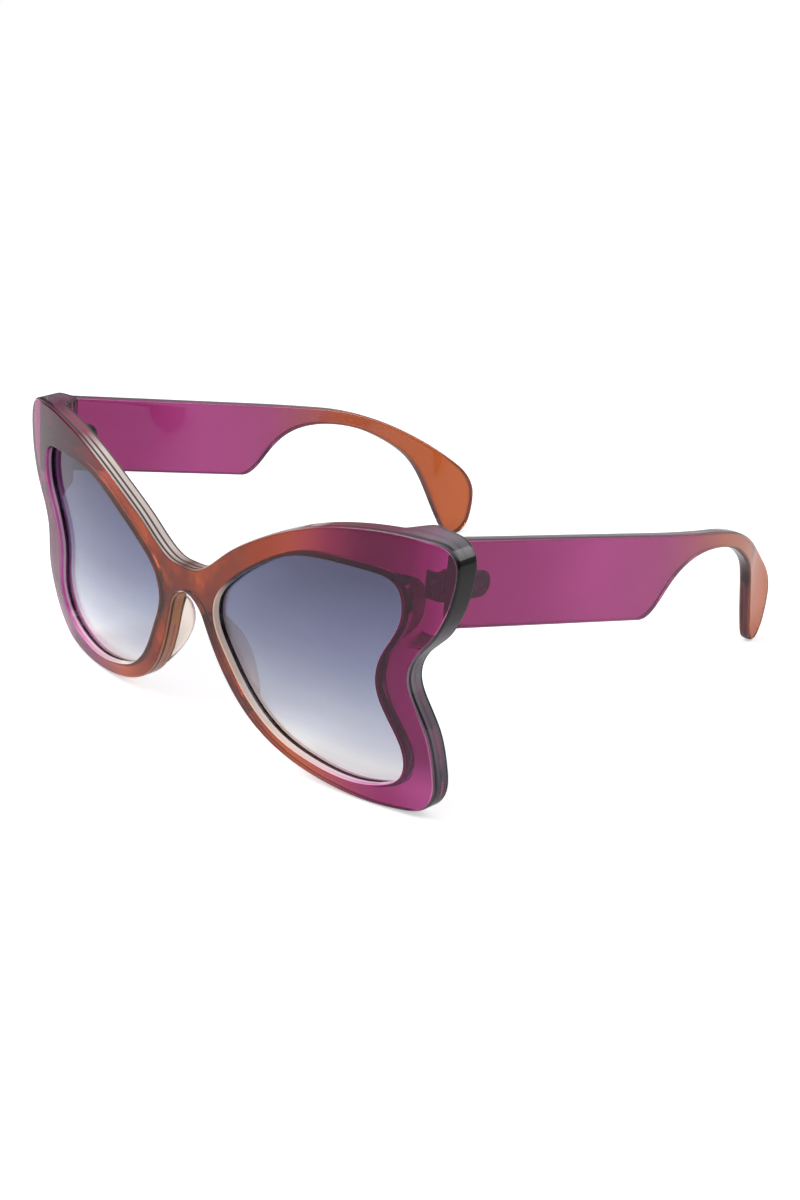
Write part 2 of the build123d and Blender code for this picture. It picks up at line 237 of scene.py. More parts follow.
def grid_faces(rows: int, columns: int, round_rows: bool, round_columns: bool) -> np.ndarray:
    """Return the quads of a grid whose points are numbered row by row.

    Args:
        rows: How many rows of points there are.
        columns: How many points each row has.
        round_rows: Whether the last row joins the first.
        round_columns: Whether the last column joins the first.

    Returns:
        An array of quads, in the order of their rows.
    """
    i, j = np.meshgrid(
        np.arange(rows if round_rows else rows - 1),
        np.arange(columns if round_columns else columns - 1),
        indexing="ij",
    )
    down, across = (i + 1) % rows, (j + 1) % columns
    quads = np.stack(
        [i * columns + j, i * columns + across, down * columns + across, down * columns + j], -1
    )
    return quads.reshape(-1, 4)


def put_in_scene(name: str, data: bpy.types.ID) -> bpy.types.Object:
    """Put a new object in the scene."""
    piece = bpy.data.objects.new(name, data)
    bpy.context.scene.collection.objects.link(piece)
    return piece


def make_piece(name: str, points: np.ndarray, faces: list[np.ndarray], zones: np.ndarray,
               walls: Span = (2.0, 2.0)) -> bpy.types.Object:
    """Make an object from points in millimetres, welded and turned outwards.

    Args:
        name: The piece's name.
        points: The points, one row each.
        faces: Arrays of faces, each with one number of corners.
        zones: Four values for each point, kept as a colour attribute.
        walls: Faces whose mean second or third zone is above these values take the
            second or third finish.

    Returns:
        The new object.
    """
    mesh = bpy.data.meshes.new(name)
    mesh.from_pydata((points * MM).tolist(), [], [f for a in faces for f in a.tolist()])
    layer = mesh.attributes.new(ZONES, "FLOAT_COLOR", "POINT")
    layer.data.foreach_set("color", zones.astype(np.float32).ravel())
    means = np.concatenate([zones[a].mean(axis=1) for a in faces])
    finish = np.select([means[:, 1] > walls[0], means[:, 2] > walls[1]], [1, 2], 0)
    mesh.polygons.foreach_set("material_index", finish.astype(np.int32))
    shell = bmesh.new()
    shell.from_mesh(mesh)
    bmesh.ops.remove_doubles(shell, verts=shell.verts, dist=WELD)
    bmesh.ops.dissolve_degenerate(shell, edges=shell.edges, dist=LEAST_EDGE)
    bmesh.ops.recalc_face_normals(shell, faces=shell.faces)
    shell.to_mesh(mesh)
    shell.free()
    mesh.shade_smooth()
    mesh.set_sharp_from_angle(angle=math.radians(SHARP_TURN))
    return put_in_scene(name, mesh)


def compact(points: np.ndarray, marks: np.ndarray,
            faces: np.ndarray) -> tuple[np.ndarray, np.ndarray, np.ndarray]:
    """Return points, their marks and faces, less the points that no face uses."""
    used = np.unique(faces)
    place = np.full(len(points), -1)
    place[used] = np.arange(len(used))
    return points[used], marks[used], place[faces]


def quarter(count: int, radius: float) -> list[tuple[float, float, float, float]]:
    """Return the steps of a quarter round, without its first.

    Args:
        count: How many steps there are.
        radius: The round's radius.

    Returns:
        For each step the angle's sine and cosine, and the radius less the radius
        times each of them.
    """
    turns = np.linspace(0, math.pi / 2, count + 1)[1:]
    arc = [(math.sin(turn), math.cos(turn)) for turn in turns]
    return [(sine, cosine, radius * (1 - sine), radius * (1 - cosine)) for sine, cosine in arc]


# The front, the lenses, the nose pads and the temples


@dataclass
class Face:
    """The wrap of the face: a barrel lying across it, with domed ends."""

    radius: float = 186.5
    half_flat: float = 17.9
    axis_height: float = 38.8
    face_y: float = -73.269

    def y(self, x: np.ndarray, z: np.ndarray, depth: float | np.ndarray = 0.0) -> np.ndarray:
        """Return how far back the layer at a depth stands.

        The layer is the barrel shrunk by the depth: y = centre - sqrt((R - depth)^2
        - beyond^2 - above^2), where beyond is the distance past the barrel's
        straight part and above is the height over its axis.
        """
        beyond = np.maximum(np.abs(x) - self.half_flat, 0)
        above = z - self.axis_height
        inner = self.radius - depth
        return self.face_y + self.radius - np.sqrt(inner**2 - beyond**2 - above**2)


@dataclass
class Front:
    """The plastic front: two winged rims, a bridge and the lugs behind the wings."""

    face: Face
    lens_width: float = 56.6
    lens_height: float = 52.6
    bridge_width: float = 21.4
    wing_margin: float = 12.0
    brow_margin: float = 9.3
    cheek_margin: float = 4.5
    rim_depth: float = 4.4
    outer_round: float = 0.6
    inner_round: float = 0.28
    groove_depth: float = 0.75
    groove_front: float = 2.1
    groove_back: float = 3.55
    butt_y: float = -55.212
    butt_top: float = 65.2
    lug_lean: float = 7.5
    lug_run: float = 4.0
    lug_inner_x: float = 66.95
    lug_lower_z: float = 44.6
    leaf_recess: float = 0.06
    wall_zones: Span = (0.6, 0.7)
    rim_columns: int = 420
    bridge_columns: int = 14
    face_rows: int = 22
    back_rows: int = 30
    inner_rows: int = 8
    outer_rows: int = 16
    inner_steps: int = 4
    outer_steps: int = 6

    @property
    def half_width(self) -> float:
        """Return half the width of the front."""
        return self.bridge_width / 2 + self.lens_width + self.wing_margin

    @property
    def height(self) -> float:
        """Return the height of the front."""
        return self.cheek_margin + self.lens_height + self.brow_margin

    def outline(self) -> Curve:
        """Return the outer edge of both halves as one closed curve."""
        right = scaled(OUTLINE_SHARES, self.half_width, self.height)
        left = right[-2:0:-1] * (-1, 1)
        return Curve(np.vstack([right, left]))

    def opening(self) -> Curve:
        """Return the edge of the right lens opening."""
        return Curve(scaled(
            OPENING_SHARES, self.lens_width, self.lens_height,
            self.bridge_width / 2, self.cheek_margin,
        ))

    def back_y(self, x: np.ndarray, z: np.ndarray) -> np.ndarray:
        """Return how far back the rear surface stands.

        It is the rim's layer, and at the lug the plane where the temple butts.
        Around that plane it falls back to the rim over the lug's run, as
        1 - s^2 (3 - 2 s) for a share s of the run.
        """
        rim = self.face.y(x, z, self.rim_depth)
        lean = math.tan(math.radians(self.lug_lean))
        butt = self.butt_y - self.leaf_recess + (z - self.butt_top) * lean
        short = np.maximum(self.lug_inner_x - np.abs(x), 0)
        low = np.maximum(self.lug_lower_z - z, 0)
        share = np.clip(np.hypot(short, low) / self.lug_run, 0, 1)
        return rim + np.maximum(butt - rim, 0) * (1 - share**2 * (3 - 2 * share))

    def section(self, outer: np.ndarray, outer_out: np.ndarray, inner: np.ndarray,
                inner_out: np.ndarray) -> tuple[np.ndarray, np.ndarray, int]:
        """Return the rim's cross section at every column.

        The section runs over the face from the outer edge to the opening, round
        its edge, down the wall and through the lens groove, over the back to the
        outer edge, and up the outer wall. Edges are quarter circles. The first
        three zone values say how far a point belongs to the face, the outer wall
        and the inner wall. The fourth is the share of the way down the inner wall,
        or up the outer one, and is whole in the groove.

        Args:
            outer: Points of the outer edge, across and up.
            outer_out: Unit directions out of the plastic there.
            inner: Points of the opening's edge.
            inner_out: Unit directions out of the plastic there.

        Returns:
            The points as rows by columns by three, four zone values for each
            point, and the first row of the outer edge.
        """
        rows: list[np.ndarray] = []
        zones: list[tuple[float, float, float, float]] = []
        outset, inset = outer - outer_out * self.outer_round, inner - inner_out * self.inner_round

        def put(flat: np.ndarray, y: np.ndarray, tint: float, outside: float = 0.0,
                inside: float = 0.0, dark: float = 0.0) -> None:
            """Add one row of points with its four zone values."""
            rows.append(np.c_[flat[:, 0], y, flat[:, 1]])
            zones.append((tint, outside, inside, dark))

        def face_y(flat: np.ndarray, depth: float = 0.0) -> np.ndarray:
            """Return the layer at a depth over flat points."""
            return self.face.y(flat[:, 0], flat[:, 1], depth)

        def back_y(flat: np.ndarray) -> np.ndarray:
            """Return the rear surface over flat points."""
            return self.back_y(flat[:, 0], flat[:, 1])

        for share in np.linspace(0, 1, self.face_rows):
            flat = outset + (inset - outset) * share
            put(flat, face_y(flat), 1)
        inner_arc = quarter(self.inner_steps, self.inner_round)
        outer_arc = quarter(self.outer_steps, self.outer_round)
        for _, cosine, in_by, down_by in inner_arc:
            flat = inner - inner_out * in_by
            put(flat, face_y(flat) + down_by, cosine, 0, 1)
        for share in np.linspace(self.inner_round / self.groove_front, 1, self.inner_rows)[1:]:
            put(inner, face_y(inner, self.groove_front * share), 0, 0, 1, share)
        # The groove's rows take the fourth zone value whole, which the front's finish paints as
        # shade in the groove
        sunk = inner - inner_out * self.groove_depth
        put(sunk, face_y(sunk, self.groove_front), 0, 0, 0, 1)
        put(sunk, face_y(sunk, self.groove_back), 0, 0, 0, 1)
        put(inner, face_y(inner, self.groove_back), 0, 0, 1)
        put(inner, back_y(inner) - self.inner_round, 0, 0, 1)
        for sine, _, down_by, in_by in inner_arc:
            flat = inner - inner_out * in_by
            put(flat, back_y(flat) - down_by, sine, 0, 1)
        for share in np.linspace(1, 0, self.back_rows)[1:]:
            flat = outset + (inset - outset) * share
            put(flat, back_y(flat), 1)
        first = len(rows) - 1
        for _, cosine, in_by, down_by in outer_arc:
            flat = outer - outer_out * in_by
            put(flat, back_y(flat) - down_by, cosine, 1 - cosine)
        deep, shallow = back_y(outer) - self.outer_round, face_y(outer) + self.outer_round
        for share in np.linspace(0, 1, self.outer_rows)[1:]:
            put(outer, deep + (shallow - deep) * share, 0, 1, 0, share)
        # On the face's outer round the fourth zone value, the cosine squared, paints a dark shade
        # line in the front's finish
        for sine, cosine, down_by, in_by in outer_arc[:-1]:
            flat = outer - outer_out * in_by
            put(flat, face_y(flat) + down_by, sine, cosine, 0, cosine**2)
        return np.array(rows), np.repeat(np.array(zones)[:, None], len(outer), axis=1), first

    def make(self) -> bpy.types.Object:
        """Make the front as one closed shell, both halves welded at the bridge."""
        outline, opening = self.outline(), self.opening()
        last = len(OUTLINE_SHARES) - 1
        places = outline.even_places(0, last, self.rim_columns)
        outer, outer_out = outline.at(places)
        outer[[0, -1], 0] = 0
        outer_out[0], outer_out[-1] = (0, 1), (0, -1)
        partners = np.interp(places, np.arange(last + 1), RIM_PARTNERS)
        gap = np.linspace(0, 1, self.bridge_columns + 2)[1:-1]
        low, high = outer[-1, 1] + self.outer_round, outer[0, 1] - self.outer_round
        middle = np.c_[np.zeros_like(gap), low + (high - low) * gap]
        spans = len(OPENING_SHARES)
        step = RIM_PARTNERS[0] - spans - RIM_PARTNERS[-1]
        partners = np.r_[partners, RIM_PARTNERS[-1] + step * gap]
        outer = np.vstack([outer, middle])
        outer_out = np.vstack([outer_out, np.zeros_like(middle)])
        inner, inner_out = opening.at(partners)
        grid, zones, edge_row = self.section(outer, outer_out, inner, inner_out)
        rows, columns = grid.shape[:2]
        quads = grid_faces(rows, columns, True, True).reshape(rows, columns, 4)
        keep = np.ones((rows, columns), bool)
        keep[edge_row:, self.rim_columns - 1:] = False
        points, marks, quads = compact(grid.reshape(-1, 3), zones.reshape(-1, 4), quads[keep])
        twin = np.arange(len(points)) + len(points)
        on_middle = np.abs(points[:, 0]) < ON_MIDDLE
        twin[on_middle] = np.flatnonzero(on_middle)
        both = np.vstack([points, points * (-1, 1, 1)])
        faces = np.vstack([quads, twin[quads][:, ::-1]])
        points, marks, faces = compact(both, np.vstack([marks, marks]), faces)
        return make_piece("front_shell", points, [faces], marks, self.wall_zones)


@dataclass
class Lens:
    """A lens: the layer of the face's curve that fills the groove."""

    front: Front
    setback: float = 2.2
    thickness: float = 1.3
    growth: float = 0.62
    edge_round: float = 0.12
    columns: int = 300
    rows: int = 40
    middle: tuple[float, float] = (38.5, 32.0)

    def make(self, side: Side) -> bpy.types.Object:
        """Make a lens as a closed disc.

        Rows are the grown opening's edge shrunk towards a middle point, first
        over the front layer and then back over the rear one.
        """
        places = np.linspace(0, len(OPENING_SHARES), self.columns + 1)[:-1]
        edge, inward = self.front.opening().at(places)
        rim = edge - inward * self.growth
        shrunk = edge - inward * (self.growth - self.edge_round)
        shares = np.linspace(0, 1, self.rows)[:, None, None]
        disc = np.array(self.middle) + (shrunk - np.array(self.middle)) * shares
        face = self.front.face

        def layer(flat: np.ndarray, depth: float) -> np.ndarray:
            """Return flat points raised to a layer."""
            y = face.y(flat[..., 0], flat[..., 1], depth)
            return np.stack([flat[..., 0], y, flat[..., 1]], -1)

        near, far = self.setback, self.setback + self.thickness
        grid = np.concatenate([
            layer(disc, near),
            layer(rim[None], near + self.edge_round),
            layer(rim[None], far - self.edge_round),
            layer(disc[::-1], far),
        ])
        rows, columns = grid.shape[:2]
        grid[..., 0] *= side.value
        marks = np.zeros((rows, columns, 4))
        # The fourth zone value marks the edge rows, which the finish paints dark as shade
        marks[self.rows:self.rows + 2, :, 3] = 1
        return make_piece(
            f"lens_{side.word}_tinted", grid.reshape(-1, 3),
            [grid_faces(rows, columns, False, True)], marks.reshape(-1, 4),
        )


@dataclass
class NosePad:
    """A clear crescent that stands back from the nose side of a rim."""

    front: Front
    thickness: float = 2.6
    reach: float = 6.2
    top: float = 34.0
    height: float = 25.5
    sink: float = 0.15
    outset: float = 0.05
    fullness: float = 0.55
    least_lift: float = 0.02
    least_height: float = 0.1
    crest_share: float = 0.3
    columns: int = 90
    rows: int = 25

    def make(self, side: Side) -> bpy.types.Object:
        """Make a pad as a fin whose crest follows an arc.

        A column is a section across the fin: up one side, over a round crest and
        down the other. Its crest stands at root + rise - R + sqrt(R^2 - (z -
        middle)^2), the arc through the fin's two ends and its furthest point.
        """
        face = self.front.face
        edge_points = scaled(OUTLINE_SHARES, self.front.half_width, self.front.height)[NOSE_SIDE]
        edge = Curve(edge_points, closed=False)
        flat, out = edge.at(edge.even_places(0, len(edge_points) - 1, self.columns))
        middle, half_height = self.top - self.height / 2, self.height / 2
        rise = self.front.rim_depth / 2 + self.reach
        radius = (rise**2 + half_height**2) / (2 * rise)
        root = face.face_y + self.front.rim_depth / 2
        z = np.clip(flat[:, 1], middle - half_height, middle + half_height)
        crest = root + rise - radius + np.sqrt(radius**2 - (z - middle) ** 2)

        def base_y(spot: np.ndarray) -> np.ndarray:
            """Return the depth of the fin's foot, a little inside the rim."""
            return face.y(spot[:, 0], spot[:, 1], self.front.rim_depth) - self.sink

        grid = []
        for turn in np.linspace(0, math.pi, self.rows):
            spot = flat - out * (self.thickness / 2 * (1 - math.cos(turn)) + self.outset)
            base = base_y(spot)
            lift = np.maximum(crest - base, self.least_lift) * math.sin(turn) ** self.fullness
            grid.append(np.c_[spot[:, 0], base + lift, spot[:, 1]])
        keep = np.flatnonzero(crest - base_y(flat) > self.least_height)
        grid = np.array(grid)[:, keep[0]:keep[-1] + 1]
        rows, count = grid.shape[:2]
        grid[..., 0] *= side.value
        foot = grid_faces(2, count, False, False)
        foot = np.where(foot >= count, foot + (rows - 2) * count, foot)
        end = np.arange(rows)[None] * count
        faces = [grid_faces(rows, count, False, False), foot, end, end + count - 1]
        # The fourth zone value marks the crest, which the pad's finish paints as a dark shade
        # line
        line = 1 - np.abs(np.linspace(-1, 1, rows)) / self.crest_share
        marks = np.zeros((rows * count, 4))
        marks[:, 3] = np.repeat(np.clip(line, 0, 1), count)
        return make_piece(f"nose_pad_{side.word}_clear", grid.reshape(-1, 3), faces, marks)


@dataclass
class Temple:
    """A wide blade that narrows to a bent ear part with a rounded heel."""

    front: Front
    inset: float = 4.1
    thickness: float = 3.4
    slope: float = 13.8
    reach: float = 136.9
    blade_height: float = 20.2
    front_share: float = 0.955
    overrun: float = 3.0
    ear_drop: float = 34.0
    bend_start: float = 63.5
    bend_radius: float = 135.0
    bend_angle: float = 24.3
    heel_bend_radius: float = 97.0
    edge_round: float = 0.85
    butt_gap: float = 0.12
    end_line: float = 0.004
    blade_columns: int = 90
    ear_columns: int = 150
    face_rows: int = 18
    edge_steps: int = 5

    def rails(self) -> tuple[np.ndarray, np.ndarray, np.ndarray, np.ndarray]:
        """Return the upper and lower edges in the temple's side view.

        Returns:
            Points of the upper edge, unit directions out of the plastic there,
            and the same for the lower edge. Both run from the butt to the tip.
        """
        top = scaled(TOP_EDGE_SHARES, self.reach, -self.ear_drop)
        tip = scaled(TIP_SHARES, self.reach, -self.ear_drop)
        corner = scaled(BLADE_CORNER_SHARES, self.reach, -self.blade_height)
        curve = Curve(np.vstack([top, tip, corner]), closed=False)
        front_height = self.blade_height * self.front_share
        first = np.array([(-self.overrun, 0.0), (-self.overrun, -front_height)])
        tilt = math.radians(self.front.lug_lean - self.slope)
        lean, back = math.tan(tilt), self.butt_gap / math.cos(tilt)
        ends = np.array([curve.corners[0], curve.corners[-1]])
        share = (back + first[:, 1] * lean - first[:, 0]) / (
            ends[:, 0] - first[:, 0] - (ends[:, 1] - first[:, 1]) * lean
        )
        butt = first + (ends - first) * share[:, None]
        blade = np.linspace(-1, 0, self.blade_columns + 1)[:-1]
        blade = np.insert(blade, 1, self.end_line - 1)
        ear = curve.even_places(0, TIP_PLACE, self.ear_columns)
        upper_places = np.r_[blade, ear]
        lower_places = np.interp(upper_places, TEMPLE_TOP_PLACES, TEMPLE_LOWER_PLACES)

        def rail(places: np.ndarray, start: np.ndarray, end: np.ndarray,
                 share: np.ndarray, on_line: np.ndarray) -> tuple[np.ndarray, np.ndarray]:
            """Return points, and directions out, on a straight run and the curve."""
            points, out = curve.at(places)
            line = start + (end - start) * share[:, None]
            straight = left_of((end - start)[None] / np.linalg.norm(end - start))
            points = np.where(on_line[:, None], line, points)
            return points, np.where(on_line[:, None], straight, out)

        past = lower_places - (len(curve.points) - 1)
        return (
            *rail(upper_places, butt[0], ends[0], upper_places + 1, upper_places < 0),
            *rail(lower_places, ends[1], butt[1], past, past > 0),
        )

    def placed(self, flat: np.ndarray, depth: float) -> np.ndarray:
        """Return side-view points as points of the bent temple.

        X is constant up to the bend. Past it X follows a circle, centre +
        sqrt(radius^2 - beyond^2), and from the bend's angle on a second circle
        that turns back, centre - sqrt(radius^2 - short^2).

        Args:
            flat: Points along the blade and up from its top edge.
            depth: How far in from the outer side they stand.

        Returns:
            The points in space.
        """
        turn, bend = math.radians(self.slope), math.radians(self.bend_angle)
        y = self.front.butt_y + flat[:, 0] * math.cos(turn) + flat[:, 1] * math.sin(turn)
        z = self.front.butt_top - flat[:, 0] * math.sin(turn) + flat[:, 1] * math.cos(turn)
        centre = self.front.half_width - self.inset - self.bend_radius
        reach = self.bend_radius + self.heel_bend_radius
        inner, outer = self.bend_radius - depth, self.heel_bend_radius + depth
        beyond = np.maximum(flat[:, 0] - self.bend_start, 0)
        first = np.sqrt(inner**2 - np.minimum(beyond, inner * math.sin(bend)) ** 2)
        short = np.minimum(beyond - reach * math.sin(bend), 0)
        second = reach * math.cos(bend) - np.sqrt(outer**2 - np.maximum(short, -outer) ** 2)
        x = centre + np.where(beyond > inner * math.sin(bend), second, first)
        return np.c_[x, y, z]

    def make(self, side: Side) -> bpy.types.Object:
        """Make a temple as a closed shell: a rounded section carried to the tip."""
        upper, upper_out, lower, lower_out = self.rails()
        high, low = upper - upper_out * self.edge_round, lower - lower_out * self.edge_round
        rows: list[np.ndarray] = []
        zones: list[tuple[float, float, float, float]] = []
        thick = self.thickness - self.front.leaf_recess

        def put(flat: np.ndarray, depth: float, tint: float, top: float = 0.0,
                bottom: float = 0.0) -> None:
            """Add one row at a depth from the outer side, with its zone values."""
            rows.append(self.placed(flat, depth))
            zones.append((tint, top, bottom, 0.0))

        # The second and third zone values on the edge rounds carry the finish's painted shade
        # lines
        arc = quarter(self.edge_steps, self.edge_round)
        start = (0.0, 1.0, self.edge_round, 0.0)
        for share in np.linspace(0, 1, self.face_rows):
            put(high + (low - high) * share, 0, 1)
        for _, cosine, in_by, down_by in arc:
            put(lower - lower_out * in_by, down_by, cosine, 0, 1 - cosine)
        for sine, _, down_by, in_by in [start, *arc]:
            put(lower - lower_out * in_by, thick - down_by, sine, 0, 1 - sine)
        for share in np.linspace(1, 0, self.face_rows)[1:]:
            put(high + (low - high) * share, thick, 1)
        for _, cosine, in_by, down_by in arc:
            put(upper - upper_out * in_by, thick - down_by, cosine, 1 - cosine)
        for sine, _, down_by, in_by in [start, *arc[:-1]]:
            put(upper - upper_out * in_by, down_by, sine, 1 - sine)
        grid = np.array(rows)
        count, columns = grid.shape[:2]
        lean = math.tan(math.radians(self.front.lug_lean))
        cap_z = grid[:, 0, 2]
        climb = (cap_z - self.front.butt_top) * lean
        grid[:, 0, 1] = self.front.butt_y + self.butt_gap + climb
        grid[..., 0] *= side.value
        quads = grid_faces(count, columns, True, False)
        cap = (np.arange(count) * columns)[None]
        marks = np.repeat(np.array(zones), columns, axis=0)
        # The fourth zone value marks the butt, which the finish paints near black as shade
        # against the lug
        marks[cap[0], 3] = 1
        return make_piece(
            f"temple_{side.word}_blade", grid.reshape(-1, 3), [quads, cap], marks
        )


# Finishes


# Half the front's width in metres, which the colours run across
HALF_WIDTH = Front(Face()).half_width * MM


def linear(code: str) -> tuple[float, float, float, float]:
    """Return a colour written as in a paint list, such as 9a4a35, for a shader."""
    parts = [int(code[i:i + 2], 16) / 255 for i in (0, 2, 4)]
    return (*(c / 12.92 if c <= 0.04045 else ((c + 0.055) / 1.055) ** 2.4 for c in parts), 1.0)


@dataclass
class Graph:
    """A small helper that places and joins shader nodes.

    Its methods return sockets. Where they take an object, a socket, a number, a
    colour or a colour's code will do.
    """

    tree: bpy.types.NodeTree

    def add(self, kind: str, **settings: object) -> bpy.types.Node:
        """Add a node and set its properties."""
        node = self.tree.nodes.new(kind)
        for key, value in settings.items():
            setattr(node, key, value)
        return node

    def join(self, source: object, target: object) -> None:
        """Join one socket to another."""
        self.tree.links.new(source, target)

    def feed(self, target: object, value: object) -> None:
        """Give a socket a link, a plain value or the colour of a code."""
        if isinstance(value, bpy.types.NodeSocket):
            self.join(value, target)
        else:
            target.default_value = linear(value) if isinstance(value, str) else value

    def math(self, operation: str, *values: object, clamp: bool = False) -> object:
        """Return the result of a sum."""
        node = self.add("ShaderNodeMath", operation=operation, use_clamp=clamp)
        for socket, value in zip(node.inputs, values):
            self.feed(socket, value)
        return node.outputs[0]

    def product(self, first: object, *others: object) -> object:
        """Return the product of all values."""
        for other in others:
            first = self.math("MULTIPLY", first, other)
        return first

    def blend(self, share: object, first: object, second: object) -> object:
        """Return two colours mixed by a share."""
        node = self.add("ShaderNodeMix", data_type="RGBA")
        for place, value in ((0, share), (6, first), (7, second)):
            self.feed(node.inputs[place], value)
        return node.outputs[2]

    def span(self, value: object, low: float, high: float, start: float = 0.0,
             end: float = 1.0, smooth: bool = True) -> object:
        """Return a value carried from one range to another."""
        node = self.add("ShaderNodeMapRange")
        node.interpolation_type = "SMOOTHSTEP" if smooth else "LINEAR"
        for socket, given in zip(node.inputs, (value, low, high, start, end)):
            self.feed(socket, given)
        return node.outputs[0]

    def band(self, value: object, rise: Span, fall: Span) -> object:
        """Return 1 between a rise and a fall of a value, and 0 beyond them."""
        return self.product(self.span(value, *rise), self.span(value, *fall))

    def ramp(self, value: object, stops: Stops) -> object:
        """Return a colour from a row of stops."""
        node = self.add("ShaderNodeValToRGB")
        bar = node.color_ramp
        while len(bar.elements) < len(stops):
            bar.elements.new(0.5)
        for element, (place, code) in zip(bar.elements, stops):
            element.position = place
            element.color = linear(code)
        self.feed(node.inputs[0], value)
        return node.outputs[0]

    def noise(self, vector: object, scale: float, detail: float = 3.0,
              rough: float = 0.5) -> object:
        """Return a noise value."""
        node = self.add("ShaderNodeTexNoise")
        for key, value in (
            ("Vector", vector), ("Scale", scale), ("Detail", detail), ("Roughness", rough),
        ):
            self.feed(node.inputs[key], value)
        return node.outputs[0]

    def drift(self, value: object, place: object, scale: float, size: float) -> object:
        """Return a value that a soft noise shifts to and fro."""
        wander = self.math("SUBTRACT", self.noise(place, scale, 1.0), 0.5)
        return self.math("ADD", value, self.product(wander, size))

    def spot(self, kind: str = "Object") -> object:
        """Return a point's coordinates, in metres and from the origin."""
        return self.add("ShaderNodeTexCoord").outputs[kind]

    def split(self, vector: object) -> tuple[object, object, object]:
        """Return a vector's X, Y and Z."""
        node = self.add("ShaderNodeSeparateXYZ")
        self.join(vector, node.inputs[0])
        return tuple(node.outputs)

    def across(self, x: object) -> object:
        """Return how far across half the front a point stands, as a share."""
        return self.product(self.math("ABSOLUTE", x), 1 / HALF_WIDTH)

    def zones(self) -> tuple[object, object, object, object]:
        """Return the four zone values of a piece."""
        zone = self.add("ShaderNodeAttribute", attribute_name=ZONES)
        parts = self.add("ShaderNodeSeparateColor")
        self.join(zone.outputs["Color"], parts.inputs[0])
        return (*parts.outputs, zone.outputs["Alpha"])


def start_material(name: str) -> tuple[bpy.types.Material, Graph, object]:
    """Return a new material, its graph and the sockets of its shader."""
    material = bpy.data.materials.new(name)
    material.use_nodes = True
    tree = material.node_tree
    return material, Graph(tree), tree.nodes["Principled BSDF"].inputs


def moulded_group() -> bpy.types.NodeTree:
    """Build the group for moulded surfaces: faint flow marks, haze and a fine ripple."""
    tree = bpy.data.node_groups.new("moulded_surface", "ShaderNodeTree")
    for name, way, kind in (
        ("Colour", "INPUT", "Color"), ("Flow", "INPUT", "Float"), ("Gloss", "INPUT", "Float"),
        ("Haze", "INPUT", "Float"), ("Colour", "OUTPUT", "Color"),
        ("Roughness", "OUTPUT", "Float"), ("Height", "OUTPUT", "Float"),
    ):
        tree.interface.new_socket(name, in_out=way, socket_type=f"NodeSocket{kind}")
    g = Graph(tree)
    start, end = g.add("NodeGroupInput").outputs, g.add("NodeGroupOutput").inputs
    place = g.spot()
    flow = g.math("SUBTRACT", g.noise(place, *FLOW_NOISE), 0.5)
    tone = g.add("ShaderNodeHueSaturation")
    g.join(g.math("ADD", 1.0, g.product(flow, start["Flow"])), tone.inputs["Value"])
    g.join(start["Colour"], tone.inputs["Color"])
    g.join(tone.outputs[0], end["Colour"])
    haze = g.product(g.noise(place, *HAZE_NOISE), start["Haze"])
    g.join(g.math("ADD", start["Gloss"], haze, clamp=True), end["Roughness"])
    g.join(g.noise(place, *RIPPLE_NOISE), end["Height"])
    return tree


@dataclass(frozen=True)
class Moulding:
    """How a surface is moulded, and how it carries light."""

    flow: float = 0.25
    gloss: float = 0.03
    haze: float = 0.05
    bump: float = 0.3
    bump_height: float = 0.0001
    clear: float = 0.0
    ior: float = 1.45
    specular: float = 0.5
    metal: float = 0.0


@dataclass(frozen=True)
class Finish:
    """A finish of the object. Each kind paints its own colour."""

    name: str
    look: Moulding

    def paint(self, g: Graph) -> object:
        """Return the colour."""
        raise NotImplementedError

    def build(self, group: bpy.types.NodeTree) -> bpy.types.Material:
        """Build the material, its colour sent through the moulded surface group.

        Args:
            group: The moulded surface group.

        Returns:
            The new material.
        """
        material, g, shader = start_material(self.name)
        look = self.look
        moulded, relief = g.add("ShaderNodeGroup", node_tree=group), g.add("ShaderNodeBump")
        for socket, value in (
            (moulded.inputs["Colour"], self.paint(g)),
            (moulded.inputs["Flow"], look.flow),
            (moulded.inputs["Gloss"], look.gloss),
            (moulded.inputs["Haze"], look.haze),
            (relief.inputs["Strength"], look.bump),
            (relief.inputs["Distance"], look.bump_height),
            (relief.inputs["Height"], moulded.outputs["Height"]),
            (shader["Base Color"], moulded.outputs["Colour"]),
            (shader["Roughness"], moulded.outputs["Roughness"]),
            (shader["Normal"], relief.outputs[0]),
            (shader["Transmission Weight"], look.clear),
            (shader["IOR"], look.ior),
            (shader["Specular IOR Level"], look.specular),
            (shader["Metallic"], look.metal),
        ):
            g.feed(socket, value)
        return material


@dataclass(frozen=True)
class Patches:
    """Soft patches of a colour in a finish."""

    code: str
    scale: float
    detail: float
    fade: Span
    strength: float

    def over(self, g: Graph, place: object, where: object, colour: object) -> object:
        """Return a colour with the patches laid over it.

        Args:
            g: The material's graph.
            place: The point's coordinates.
            where: How strongly the patches show there.
            colour: The colour under them.

        Returns:
            The new colour.
        """
        patch = g.span(g.noise(place, self.scale, self.detail), *self.fade)
        return g.blend(g.product(patch, where, self.strength), colour, self.code)


